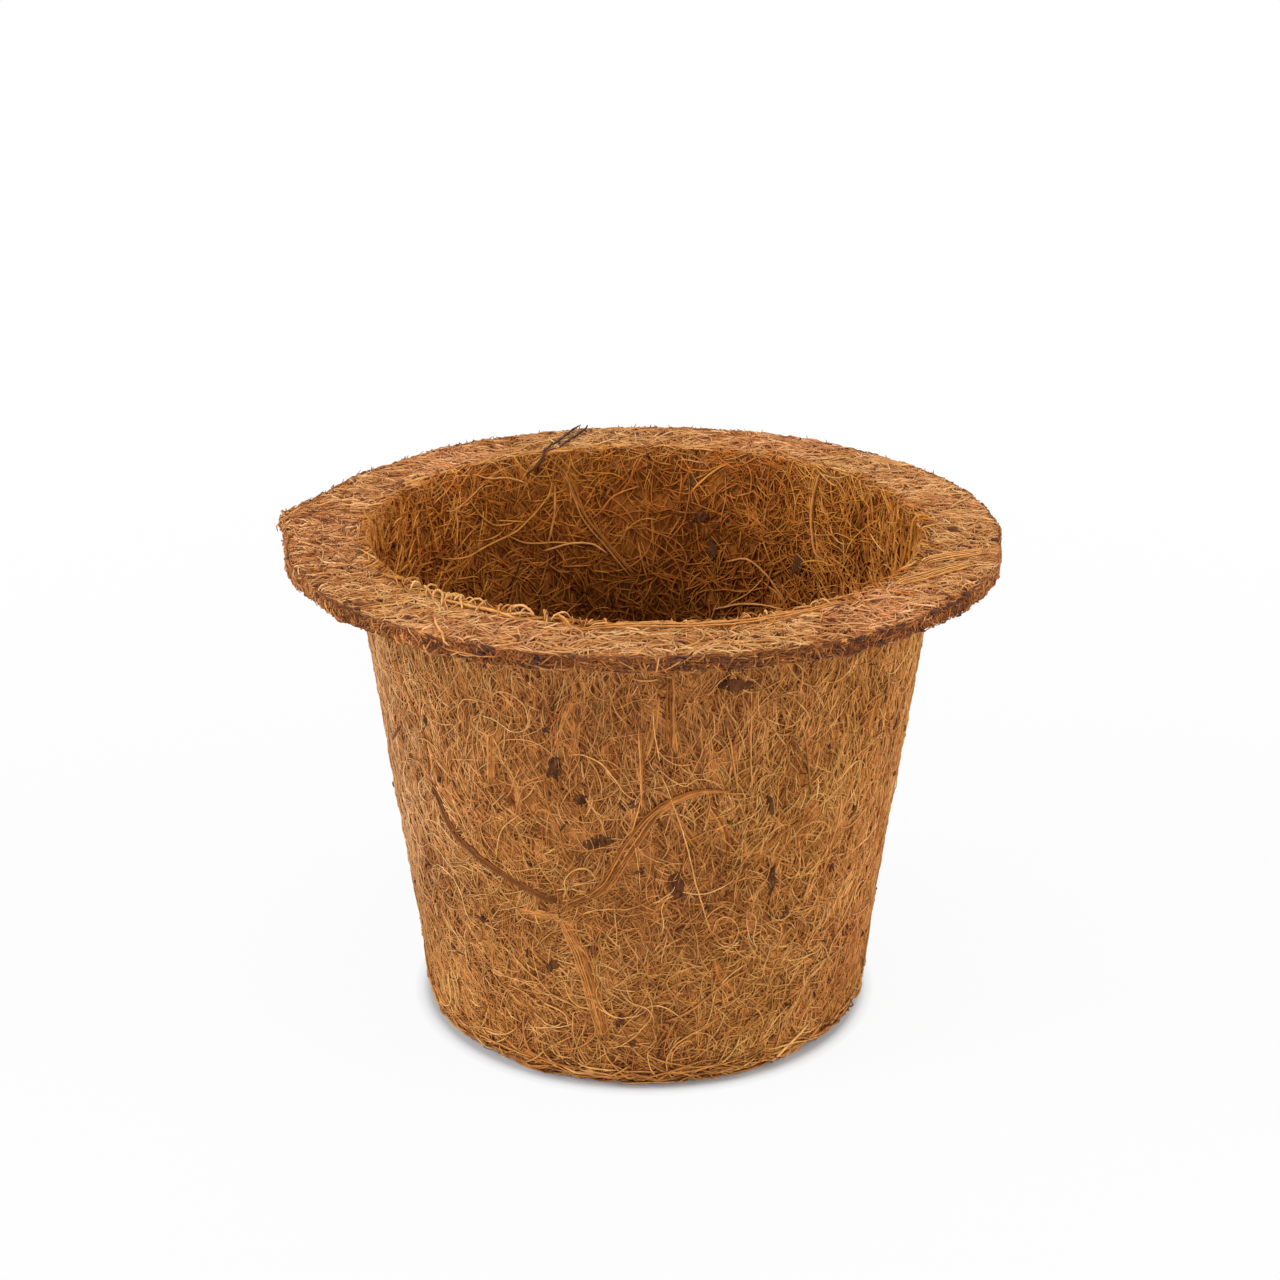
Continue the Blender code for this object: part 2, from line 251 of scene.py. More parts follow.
# How the threads of a strand wander, lie, and vary in width
THREAD_WANDER = 0.03
THREAD_LEVEL = 0.06
THREAD_UNEVEN = 0.02
THREAD_WIDTHS = 0.15
THREAD_KNOBBLE = 0.08

# Flat strips: the width, lift, tint and spacing of their threads
STRIP_WIDTH = 0.27
STRIP_LIFT = -0.08
STRIP_TINT = 0.43
STRIP_TINTS = 0.05
STRIP_SPACING = 0.18

# Husk flakes: how high they lie, half their thickness, and how warped they are
FLAKE_LIFT = 0.12
FLAKE_HALF = 0.1
FLAKE_WARP = 0.1

# The empty edge round each shape's place in a bake
BAKE_MARGIN = 0.06

# Steps of the noise's hash
HASH_STEPS = (73856093, 19349663, 83492791)
HASH_SEED = 40503
HASH_MIX = 1274126177


def wall_radius(height):
    return WALL_FOOT_RADIUS + WALL_SLOPE * height


def lining_outside(height):
    return wall_radius(height) - SLEEVE_THICK - BOND_GAP


def lining_inside(height):
    return lining_outside(height) - LINING_THICK


def turned(angle, r, z):
    """Places at a radius and a height, turned by an angle about +Z."""
    return np.stack((r * np.cos(angle), r * np.sin(angle), z + 0 * angle), axis=-1)


def degrees_apart(angle, where):
    """Degrees from a place in degrees to an angle in radians."""
    return (np.degrees(angle) - where + 180) % 360 - 180


def ramp_colours(shares):
    return np.stack([np.interp(shares, RAMP_AT, band) for band in RAMP.T], axis=-1)


def running_total(lengths):
    return np.concatenate(([0], np.cumsum(lengths)))


def noise(points, seed):
    """Smooth noise from -1 to 1, with one bump to a unit."""
    cell = np.floor(points).astype(np.int64)
    part = points - cell
    part = part * part * (3 - 2 * part)
    total = np.zeros(points.shape[:-1])
    for corner in range(8):
        step = np.array([(corner >> axis) & 1 for axis in range(3)])
        at = cell + step
        mixed = np.bitwise_xor.reduce(at * HASH_STEPS, axis=-1) ^ seed * HASH_SEED
        mixed = (mixed ^ (mixed >> 13)) * HASH_MIX
        value = ((mixed ^ (mixed >> 16)) & 0xFFFF) / 0x7FFF - 1
        total += value * np.prod(np.where(step == 1, part, 1 - part), axis=-1)
    return total


def layered(points, layers, seed):
    """Noise in layers, each with a width in millimetres and a strength."""
    return sum(strength * noise(points / wide, seed + i) for i, (wide, strength) in enumerate(layers))


class Skin:
    """The pot's profile, with its corners softened, turned about +Z."""

    STEP = 0.1
    SOFTEN = 0.4

    def __init__(self, corners):
        corners = np.array(corners)
        self.marks = running_total(np.hypot(*np.diff(corners, axis=0).T))
        self.along = np.arange(0, self.marks[-1], self.STEP)
        window = round(self.SOFTEN / self.STEP)
        soft = []
        for column in corners.T:
            plain = np.interp(self.along, self.marks, column)
            padded = np.pad(plain, window, mode="reflect", reflect_type="odd")
            kernel = np.ones(window) / window
            soft.append(np.convolve(padded, kernel, mode="same")[window:-window])
        self.r, self.z = soft
        run, rise = np.gradient(self.r), np.gradient(self.z)
        size = np.hypot(run, rise)
        self.normal_r, self.normal_z = -rise / size, run / size

    def radius(self, v):
        return np.maximum(np.interp(v, self.along, self.r), 1.0)

    def at(self, angle, v, lift=0.0):
        """Places at an angle in radians and a distance along the profile, lifted off the skin."""
        r, z = np.interp(v, self.along, self.r), np.interp(v, self.along, self.z)
        normal_r, normal_z = self.slant(v)
        lift = lift + swell(angle, r, z)
        r = r + lift * normal_r
        z = z + lift * normal_z
        out = np.clip((r - WALL_TOP_RADIUS) / (RIM_RADIUS - WALL_TOP_RADIUS), 0, 1.3)
        r = np.maximum(r + out * rim_change(angle), 0)
        z = np.maximum(z, SKIN_CLEARANCE)
        return turned(angle, r, z)

    def slant(self, v):
        return np.interp(v, self.along, self.normal_r), np.interp(v, self.along, self.normal_z)

    def normal(self, angle, v):
        return turned(angle, *self.slant(v))


def swell(angle, r, z):
    """How far the felt stands proud. The left of the outer wall is pressed in."""
    lumps = layered(turned(angle, r, z), LUMPS, 1)
    outer = np.clip(r - wall_radius(z) + FOOT_SWELL, 0, 1) * (z < FLANGE_LOW)
    left = np.maximum(-np.cos(angle), 0) ** 2
    low = np.clip((PRESSED_BELOW - z) / PRESSED_FADE, 0, 1)
    return lumps - LEFT_PRESSED * outer * left * low


def rim_change(angle):
    """How far the rim departs from its circle at an angle."""
    total = RIM_WAVE * noise(turned(angle, RIM_WAVES, 0), 3)
    for where, depth in RIM_CUTS:
        chord = (RIM_RADIUS - depth) / np.maximum(np.cos(angle - math.radians(where)), 0.5)
        total = total + np.minimum(chord - RIM_RADIUS, 0)
    for where, depth, width in RIM_CHANGES:
        total = total + depth * np.exp(-((degrees_apart(angle, where) / width) ** 2))
    return total


SKIN = Skin((
    (0, FLOOR_TOP),
    (lining_inside(FLOOR_TOP) - FLOOR_CORNER, FLOOR_TOP),
    (lining_inside(FLOOR_TOP + FLOOR_CORNER), FLOOR_TOP + FLOOR_CORNER),
    (lining_inside(LIP_CROWN) + 0.2, LIP_CROWN),
    (LIP_RADIUS, LIP_CROWN),
    (LIP_RADIUS + BOND_GAP, FLANGE_TOP),
    (RIM_RADIUS, FLANGE_TOP),
    (RIM_RADIUS, FLANGE_LOW),
    (wall_radius(FLANGE_LOW), FLANGE_LOW),
    (wall_radius(SLEEVE_LOW), SLEEVE_LOW),
    (FOOT_RADIUS, BASE_TOP),
    (FOOT_RADIUS, 0),
    (0, 0),
))
_, FLOOR_END, LINING_START, LIP_START, LIP_END, FLANGE_START, *OUTER_MARKS = SKIN.marks
RIM_START, RIM_END, WALL_START, WALL_END, BASE_START, BASE_END, BOTTOM_END = OUTER_MARKS


# Distances along the profile, from heights on the outer and the inside wall and radii on the flange


def on_wall(height):
    share = (FLANGE_LOW - height) / (FLANGE_LOW - SLEEVE_LOW)
    return WALL_START + share * (WALL_END - WALL_START)


def on_lining(height):
    share = (height - FLOOR_TOP - FLOOR_CORNER) / (LIP_CROWN - FLOOR_TOP - FLOOR_CORNER)
    return LINING_START + share * (LIP_START - LINING_START)


def on_flange(radius):
    return FLANGE_START + radius - LIP_RADIUS - BOND_GAP


# Places seen in the photo

AHEAD = np.array((0, math.cos(CAMERA_RISE), -math.sin(CAMERA_RISE)))
EYE = np.array((0, 0, AIM_HEIGHT)) - CAMERA_DISTANCE * AHEAD


def sight(pixel):
    """The direction in which the camera sees a pixel."""
    focal = IMAGE / 2 / math.tan(CAMERA_ANGLE / 2)
    right = (pixel[0] - AIM_PIXEL[0]) / focal
    up = (AIM_PIXEL[1] - pixel[1]) / focal
    return AHEAD + np.array((right, 0, 0)) + up * np.array((0, -AHEAD[2], AHEAD[1]))


def on_cone(pixel, radius, far):
    """Angle and height where a pixel shows a wall that has this radius at the ground."""
    way = sight(pixel)
    wide = radius + WALL_SLOPE * EYE[2]
    a = way[0] ** 2 + way[1] ** 2 - (WALL_SLOPE * way[2]) ** 2
    b = EYE[1] * way[1] - wide * WALL_SLOPE * way[2]
    c = EYE[1] ** 2 - wide**2
    root = math.sqrt(b * b - a * c)
    spot = EYE + (-b + (root if far else -root)) / a * way
    return math.degrees(math.atan2(spot[1], spot[0])), spot[2]


def seen_on_wall(pixel):
    angle, height = on_cone(pixel, WALL_FOOT_RADIUS, far=False)
    return angle, on_wall(height)


def seen_inside(pixel):
    angle, height = on_cone(pixel, lining_inside(0), far=True)
    return angle, on_lining(height)


def seen_on_flange(pixel):
    way = sight(pixel)
    spot = EYE + (FLANGE_TOP - EYE[2]) / way[2] * way
    return math.degrees(math.atan2(spot[1], spot[0])), on_flange(math.hypot(spot[0], spot[1]))


# Meshes


class Parts:
    """Many small closed shapes, gathered for one mesh, with tints that hold painted shade, and bake
    places.
    """

    def __init__(self):
        self.rows = []
        self.vertices = 0
        self.shapes = 0

    def add(self, points, tints, loops, counts, places, cells):
        self.rows.append((points, tints, loops + self.vertices, counts, places, cells + self.shapes))
        self.vertices += len(points)
        self.shapes += int(cells.max()) + 1

    def place(self, name, finish, *nodes):
        place(name, self.mesh(name), finish, *nodes)

    def mesh(self, name):
        points, tints, loops, counts, places, cells = map(np.concatenate, zip(*self.rows))
        made = bpy.data.meshes.new(name)
        made.vertices.add(len(points))
        made.vertices.foreach_set("co", (points * MM).astype(np.float32).ravel())
        made.loops.add(len(loops))
        made.loops.foreach_set("vertex_index", loops.astype(np.int32))
        made.polygons.add(len(counts))
        made.polygons.foreach_set("loop_start", running_total(counts)[:-1].astype(np.int32))
        made.polygons.foreach_set("use_smooth", np.ones(len(counts), bool))
        made.update(calc_edges=True)
        tints = np.concatenate((tints, np.ones((len(tints), 1))), axis=1)
        layer = made.attributes.new("tint", "FLOAT_COLOR", "POINT")
        layer.data.foreach_set("color", tints.astype(np.float32).ravel())
        across = math.ceil(math.sqrt(self.shapes))
        corner = np.stack((cells % across, cells // across), axis=-1)
        places = (corner + BAKE_MARGIN + (1 - 2 * BAKE_MARGIN) * places) / across
        layer = made.uv_layers.new(name="OFBake")
        layer.uv.foreach_set("vector", places.astype(np.float32).ravel())
        made.validate()
        return made


def unit(arrows):
    return arrows / (np.linalg.norm(arrows, axis=-1, keepdims=True) + 1e-9)


def tubes(parts, angle, v, lift, thick, tint, sides=3):
    """Adds fibres that follow rows of places on the skin. thick is each ring's radius. Each tint gets
    painted shade: darker on the fibre's sides than on its ridge, and darker where the fibre lies sunk.
    """
    count, rings = angle.shape
    if not count:
        return
    middle = SKIN.at(angle, v, lift)
    along = unit(np.gradient(middle, axis=1))
    side = unit(np.cross(along, SKIN.normal(angle, v)))
    up = np.cross(side, along)
    points = np.empty((count, rings, sides, 3))
    shade = np.empty((count, rings, sides, 3))
    # painted shade: darker where the fibre lies sunk, and on its sides beside the ridge
    depth = np.exp(SUNK_SHADE * np.minimum(lift, FULLY_LIT))[..., None]
    for i in range(sides):
        turn = math.pi / 2 + math.tau * i / sides
        arm = math.cos(turn) * side + math.sin(turn) * up
        points[:, :, i] = middle + thick[..., None] * arm
        ridge = SIDE_SHADE + (1 - SIDE_SHADE) * (0.5 + 0.5 * math.sin(turn))
        shade[:, :, i] = tint[:, None, :] * (depth * ridge) ** SHADE_POWER
    points[..., 2] = np.maximum(points[..., 2], FIBRE_CLEARANCE)

    ring, turn = np.meshgrid(np.arange(rings - 1), np.arange(sides), indexing="ij")
    after = (turn + 1) % sides
    near, far = ring * sides, (ring + 1) * sides
    quads = np.stack((near + turn, near + after, far + after, far + turn), axis=-1)
    caps = np.stack((np.arange(sides)[::-1], (rings - 1) * sides + np.arange(sides)))
    loops = np.concatenate((quads.ravel(), caps.ravel()))
    counts = np.array([4] * (rings - 1) * sides + [sides] * 2)
    low, high = ring / (rings - 1), (ring + 1) / (rings - 1)
    left, right = turn / (sides + 1), (turn + 1) / (sides + 1)
    places = np.stack((low, left, low, right, high, right, high, left), axis=-1).reshape(-1, 2)
    spin = math.tau * np.arange(sides) / sides
    cap = 0.5 + 0.4 * turned(spin, 1, 0)[:, :2]
    cap = cap * (0.4, 1 / (sides + 1)) + (0, sides / (sides + 1))
    places = np.concatenate((places, cap[::-1], cap + (0.5, 0)))

    shift = np.arange(count)[:, None] * rings * sides
    parts.add(
        points.reshape(-1, 3),
        shade.reshape(-1, 3),
        (loops + shift).ravel(),
        np.tile(counts, count),
        np.tile(places, (count, 1)),
        np.repeat(np.arange(count), len(loops)),
    )


def new_object(name, data):
    made = bpy.data.objects.new(name, data)
    SCENE.collection.objects.link(made)
    return made


def place(name, mesh, finish, *nodes):
    """Puts a mesh on the pot, in place of nodes of the frame. A finish is a material and its slot, and
    the slot is not used.
    """
    material, slot = finish
    mesh.materials.append(material)
    made = new_object(name, mesh)
    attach(made, "root")
    if nodes:
        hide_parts(*nodes)


# Materials


def new_material(name):
    made = bpy.data.materials.new(name)
    made.use_nodes = True
    nodes = made.node_tree.nodes
    return made, nodes, nodes["Principled BSDF"]


def join(source, output, target, goal):
    source.id_data.links.new(source.outputs[output], target.inputs[goal])


def set_inputs(node, values):
    for name, value in values.items():
        node.inputs[name].default_value = value


def add_node(nodes, kind, values=None, operation=None):
    made = nodes.new("ShaderNode" + kind)
    set_inputs(made, values or {})
    if operation:
        made.operation = operation
    return made


def combine(nodes, operation, first, first_output, second, second_output):
    made = add_node(nodes, "Math", operation=operation)
    join(first, first_output, made, 0)
    join(second, second_output, made, 1)
    return made


def fibre_material(name, roughness, sheen=0.0):
    """Fibre colour from the mesh's own tint, which holds painted shade, mottled along the fibre."""
    made, nodes, shader = new_material(name)
    tint = add_node(nodes, "Attribute")
    tint.attribute_name = "tint"
    grain = add_node(nodes, "TexNoise", {"Scale": 900, "Detail": 2})
    where = add_node(nodes, "TexCoord")
    join(where, "Object", grain, "Vector")
    mottling = {"From Min": 0.3, "From Max": 0.7, "To Min": 0.78, "To Max": 1.2}
    bright = add_node(nodes, "MapRange", mottling)
    join(grain, "Fac", bright, "Value")
    mixed = add_node(nodes, "VectorMath", operation="SCALE")
    join(tint, "Color", mixed, 0)
    join(bright, "Result", mixed, "Scale")
    join(mixed, "Vector", shader, "Base Color")
    rough = add_node(nodes, "MapRange", {"To Min": roughness - 0.12, "To Max": roughness + 0.12})
    join(grain, "Fac", rough, "Value")
    join(rough, "Result", shader, "Roughness")
    set_inputs(shader, {"Specular IOR Level": 0.08, "Sheen Weight": sheen, "Sheen Roughness": 0.4})
    return made


def felt_material(name, dark, light):
    """The matted ground under the fibres: streaks, dark pits, and paler matted patches."""
    made, nodes, shader = new_material(name)
    where = add_node(nodes, "TexCoord")
    stretch = add_node(nodes, "Mapping", {"Scale": (1, 1, 0.35)})
    join(where, "Object", stretch, "Vector")
    streaks = add_node(nodes, "TexNoise", {"Scale": 1700, "Detail": 4, "Distortion": 1.2})
    join(stretch, "Vector", streaks, "Vector")
    ramp = add_node(nodes, "ValToRGB")
    for stop, at, colour in zip(ramp.color_ramp.elements, (0.38, 0.66), (dark, light)):
        stop.position = at
        stop.color = (*colour, 1)
    matted = add_node(nodes, "Attribute")
    matted.attribute_name = "matted"
    paler = add_node(nodes, "Math", operation="MULTIPLY_ADD")
    paler.inputs[1].default_value = 0.14
    join(matted, "Fac", paler, 0)
    join(streaks, "Fac", paler, 2)
    join(paler, 0, ramp, "Fac")
    join(ramp, "Color", shader, "Base Color")
    set_inputs(shader, {"Roughness": 0.9, "Specular IOR Level": 0.05})
    bump = add_node(nodes, "Bump", {"Strength": 0.6, "Distance": 0.0002})
    join(streaks, "Fac", bump, "Height")
    join(bump, "Normal", shader, "Normal")
    return made


# Felt


def felt(name, start, end, back):
    """A closed felt body: its skin on a stretch of the profile, and its hidden back."""
    rows = max(3, round((end - start) / GROUND_STEP))
    v = np.linspace(start, end, rows)
    angle = np.linspace(-math.pi, math.pi, GROUND_TURNS, endpoint=False)
    grid_angle, grid_v = np.meshgrid(angle, v, indexing="ij")
    flat = SKIN.at(grid_angle, grid_v)
    matted = np.clip(MATTED_CONTRAST * noise(flat / MATTED_WIDE, 6) - MATTED_FROM, 0, 1)
    rough = GROUND_ROUGH * noise(flat / GROUND_GRAIN, 5) - GROUND_SUNK + MATTED_RISE * matted
    shown = SKIN.at(grid_angle, grid_v, rough)
    hidden = turned(angle[:, None], *np.array(back, float).T)
    points = np.concatenate((shown, hidden), axis=1) * MM
    around = points.shape[1]
    mesh = bpy.data.meshes.new(name)
    i, j = np.meshgrid(np.arange(GROUND_TURNS), np.arange(around), indexing="ij")
    after_i, after_j = (i + 1) % GROUND_TURNS, (j + 1) % around
    near, far = i * around, after_i * around
    quads = np.stack((near + j, far + j, far + after_j, near + after_j), axis=-1)
    mesh.from_pydata(points.reshape(-1, 3).tolist(), [], quads.reshape(-1, 4).tolist())
    pale = np.zeros((GROUND_TURNS, around))
    pale[:, :rows] = matted
    layer = mesh.attributes.new("matted", "FLOAT", "POINT")
    layer.data.foreach_set("value", pale.astype(np.float32).ravel())
    shape = bmesh.new()
    shape.from_mesh(mesh)
    bmesh.ops.remove_doubles(shape, verts=shape.verts, dist=0.002 * MM)
    bmesh.ops.recalc_face_normals(shape, faces=shape.faces)
    shape.to_mesh(mesh)
    shape.free()
    mesh.shade_smooth()
    return mesh


def add_felt():
    """The four felts. Each back is a row of radii and heights that the pot hides."""
    # The grounds' dark ends are partly the felt's own colour, partly painted shade for the gaps between
    # fibres
    outer = felt_material("outer_ground", (0.080, 0.018, 0.003), (0.40, 0.148, 0.038)), "outer_felt"
    inner = felt_material("inner_ground", (0.10, 0.027, 0.005), (0.28, 0.090, 0.016)), "inner_felt"
    rim = felt_material("rim_ground", (0.13, 0.034, 0.007), (0.52, 0.220, 0.065)), "rim_felt"
    top, bottom = wall_radius(FLANGE_LOW), wall_radius(SLEEVE_LOW)
    lining_back = (
        (lining_outside(FLANGE_TOP), FLANGE_TOP - 0.5),
        (lining_outside(SLEEVE_LOW), SLEEVE_LOW),
        (0, SLEEVE_LOW),
    )
    flange_back = ((top - 0.2, FLANGE_LOW + 0.4), (LIP_RADIUS + BOND_GAP, FLANGE_LOW + 0.6))
    sleeve_back = ((bottom - SLEEVE_THICK, SLEEVE_LOW + 0.2), (top - SLEEVE_THICK, FLANGE_LOW + 0.2))
    base_back = ((0, BASE_TOP), (FOOT_RADIUS - 1, BASE_TOP))
    for name, start, end, back, finish, node in (
        ("lining_felt", 0, LIP_END + 0.6, lining_back, inner, "inner_lining"),
        ("flange_felt", LIP_END + 0.4, WALL_START, flange_back, rim, "rim_flange"),
        ("wall_felt", WALL_START, WALL_END, sleeve_back, outer, "wall_sleeve"),
        ("base_felt", BASE_START, BOTTOM_END, base_back, outer, "base_disc"),
    ):
        place(name, felt(name, start, end, back), finish, node)


# Fibres


def wall_heading(angle, v):
    """Down the wall near its top and at its sides, and every way on its lower front."""
    height = np.interp(v, SKIN.along, SKIN.z)
    lean = 0.55 * noise(SKIN.at(angle, v) / 8, 11)
    low = np.clip((LOOSE_BELOW - height) / BELOW_FADE, 0, 1)
    loose = low * np.clip((LOOSE_NEAR - np.abs(degrees_apart(angle, -90))) / NEAR_FADE, 0.25, 1)
    return math.pi / 2 + lean * (0.6 + 0.7 * loose), 0.36 + 0.6 * loose


def flange_heading(angle, v):
    """Mostly from side to side of the pot, in swirls."""
    return angle + math.pi / 2 + 1.5 * noise(SKIN.at(angle, v) / 4, 13), 0.85


def swaying(mean, sway, wide, seed, spread):
    """A heading that sways about its mean, in radians from level."""
    return lambda angle, v: (mean + sway * noise(SKIN.at(angle, v) / wide, seed), spread)


any_heading = swaying(0, 3, 6, 12, 0.8)
level_heading = swaying(0, 0.25, 4, 14, 0.22)
upright_heading = swaying(math.pi / 2, 0.4, 4, 15, 0.35)
lip_heading = swaying(math.pi / 2, 0.7, 5, 16, 0.7)

FLECK = {"dive": 0.05, "tint_spread": 0.04}


@dataclass
class Batch:
    """Fibres of one kind that grow on a stretch of the profile."""

    start: float
    end: float
    count: int
    length: float
    rings: int
    width: float
    low: float  # range of how high their middles lie
    high: float
    arch: float  # how much higher the middle is than the ends
    curl: float  # usual bend, in radians to the millimetre
    tint: float  # middle place on the colour ramp
    heading: callable = any_heading  # mean heading and its spread at a place
    inside: bool = False  # whether the fibres stay between start and end
    around: tuple = (-180, 180)  # range of angles in degrees
    dive: float = 0.3  # how far the ends go down
    tint_spread: float = 0.12  # how unlike one another their tints are
    fray: float = 0  # how far the loose ends stand off


def grow(batch):
    """Rows of places that a batch's fibres follow: angle, distance along the profile and lift."""
    count, rings = batch.count, batch.rings
    tries = RNG.uniform(batch.start, batch.end, 3 * count)
    keep = RNG.uniform(0, SKIN.r.max(), 3 * count) < SKIN.radius(tries)
    v = np.resize(tries[keep], count)
    angle = np.radians(RNG.uniform(*batch.around, count))
    length = batch.length * np.exp(RNG.normal(0, LENGTH_SPREAD, count))
    step = length / (rings - 1)
    mean, spread = batch.heading(angle, v)
    heading = mean + spread * RNG.normal(0, 1, count) + math.pi * RNG.integers(0, 2, count)
    bend = batch.curl * RNG.normal(0, 1, count)
    rows = []
    v = v - step * (rings - 1) / 2 * np.sin(heading)
    angle = angle - step * (rings - 1) / 2 * np.cos(heading) / SKIN.radius(v)
    for _ in range(rings):
        rows.append((angle, v))
        bend = BEND_KEPT * bend + BEND_NEW * batch.curl * RNG.normal(0, 1, count)
        heading = heading + bend * step
        v = v + step * np.sin(heading)
        angle = angle + step * np.cos(heading) / SKIN.radius(v)
    angle, v = np.array(rows).transpose(1, 2, 0)
    if batch.inside:
        v = v - np.maximum(v.max(axis=1, keepdims=True) - batch.end, 0)
        v = v + np.maximum(batch.start - v.min(axis=1, keepdims=True), 0)
    v = np.clip(v, SKIN.along[2], SKIN.along[-3])
    share = np.linspace(-1, 1, rings)
    lift = RNG.uniform(batch.low, batch.high, count)[:, None]
    lift = lift + batch.arch * RNG.uniform(0.3, 1.6, count)[:, None] * (1 - share**2)
    lift = lift - batch.dive * share**6 + UNEVEN * RNG.normal(0, 1, (count, rings))
    lift = lift + batch.fray * RNG.uniform(0, 1, count)[:, None] * np.clip(share, 0, 1) ** 1.5
    return angle, v, lift


def fibre_tints(batch, angle, v):
    """A colour for each fibre, darker or paler in patches."""
    spot = SKIN.at(angle, v)
    patch = layered(spot, TINT_PATCHES, 7)
    shares = np.clip(batch.tint + patch + batch.tint_spread * RNG.normal(0, 1, batch.count), 0.02, 1)
    red = layered(spot, RED_PATCHES, 9) + RED_SPREAD * RNG.normal(0, 1, batch.count)
    return (1 + red[:, None] * RED_DRIFT) * ramp_colours(shares)


def fibres(name, sectors, finish, hue, *batches):
    """Grows fibres and places them, cut into sectors. hue is a colour to multiply by, or gives one."""
    gathered = [Parts() for _ in range(sectors)]
    for batch in batches:
        angle, v, lift = grow(batch)
        middle = batch.rings // 2
        where = angle[:, middle], v[:, middle]
        tint = fibre_tints(batch, *where) * (hue(*where) if callable(hue) else hue)
        share = np.linspace(-1, 1, batch.rings)
        thick = batch.width / 2 * np.exp(RNG.normal(0, WIDTH_SPREAD, batch.count))[:, None]
        thick = thick * (1 - END_TAPER * share**4)
        sector = np.floor((angle[:, middle] / math.tau % 1) * sectors).astype(int)
        for i, parts in enumerate(gathered):
            mine = sector == i
            tubes(parts, angle[mine], v[mine], lift[mine], thick[mine], tint[mine])
    for i, parts in enumerate(gathered, start=1):
        parts.place(f"{name}_{i}" if sectors > 1 else name, finish)


def painted_left_sheen(angle, v):
    """Painted sheen: how the wall's hue changes round the pot, paler and cooler on its left, above its
    foot.
    """
    apart = degrees_apart(angle, LEFT_SHEEN_AT)
    high = np.clip(np.interp(v, SKIN.along, SKIN.z) / LEFT_SHEEN_HEIGHT - 0.5, 0, 1)
    return LEFT_SHEEN_HUE ** (high * np.exp(-((apart / LEFT_SHEEN_WIDTH) ** 2)))[:, None]


# After its start and end, a batch's numbers are count, length, rings, width, low, high, arch, curl, tint


def add_wall_fibres(finish):
    wall_batch = partial(Batch, WALL_START, WALL_END, heading=wall_heading)
    # the wall's fibres get the painted sheen on the pot's left
    fibres(
        "wall_fibres", 8, finish, painted_left_sheen,
        wall_batch(24500, 3.6, 6, 0.235, -0.2, 0, 0.05, 0.12, 0.48),
        wall_batch(13000, 4.6, 8, 0.2, -0.08, 0.06, 0.07, 0.2, 0.57),
        Batch(WALL_START + 8, WALL_END, 650, 8, 16, 0.19, 0.05, 0.12, 0.12, 0.35, 0.6, wall_heading),
        wall_batch(280, 1.2, 4, 0.5, 0, 0.08, 0.02, 0.1, 0.06, **FLECK),
    )


def add_lining_fibres(finish):
    lining_batch = partial(Batch, LINING_START, LIP_START)
    high = LINING_START + 20
    # Painted light: paler fibres on the inside's right and left walls, lighter as the side lamps would
    # make them
    right, left = (-50, 55), (130, 205)
    fibres(
        "lining_fibres", 4, finish, INNER_HUE,
        Batch(FLOOR_END, LIP_START, 10000, 4.5, 6, 0.33, -0.22, 0, 0.07, 0.12, 0.38),
        lining_batch(7500, 4.8, 8, 0.26, -0.06, 0.08, 0.06, 0.2, 0.44),
        Batch(high, LIP_START, 120, 11, 18, 0.34, 0.05, 0.15, 0.15, 0.18, 0.54),
        lining_batch(170, 1.4, 4, 0.6, 0, 0.08, 0.02, 0.1, 0.05, **FLECK),
        # painted light on the inside's right and left walls
        lining_batch(1200, 4.8, 8, 0.25, 0, 0.1, 0.06, 0.2, 0.66, around=right),
        lining_batch(800, 4.8, 8, 0.25, 0, 0.1, 0.06, 0.2, 0.6, around=left),
    )
    floor = Batch(1, FLOOR_END, 1600, 8, 8, 0.36, -0.15, 0.15, 0.2, 0.1, 0.4)
    fibres("lining_floor_fibres", 1, finish, INNER_HUE, floor)


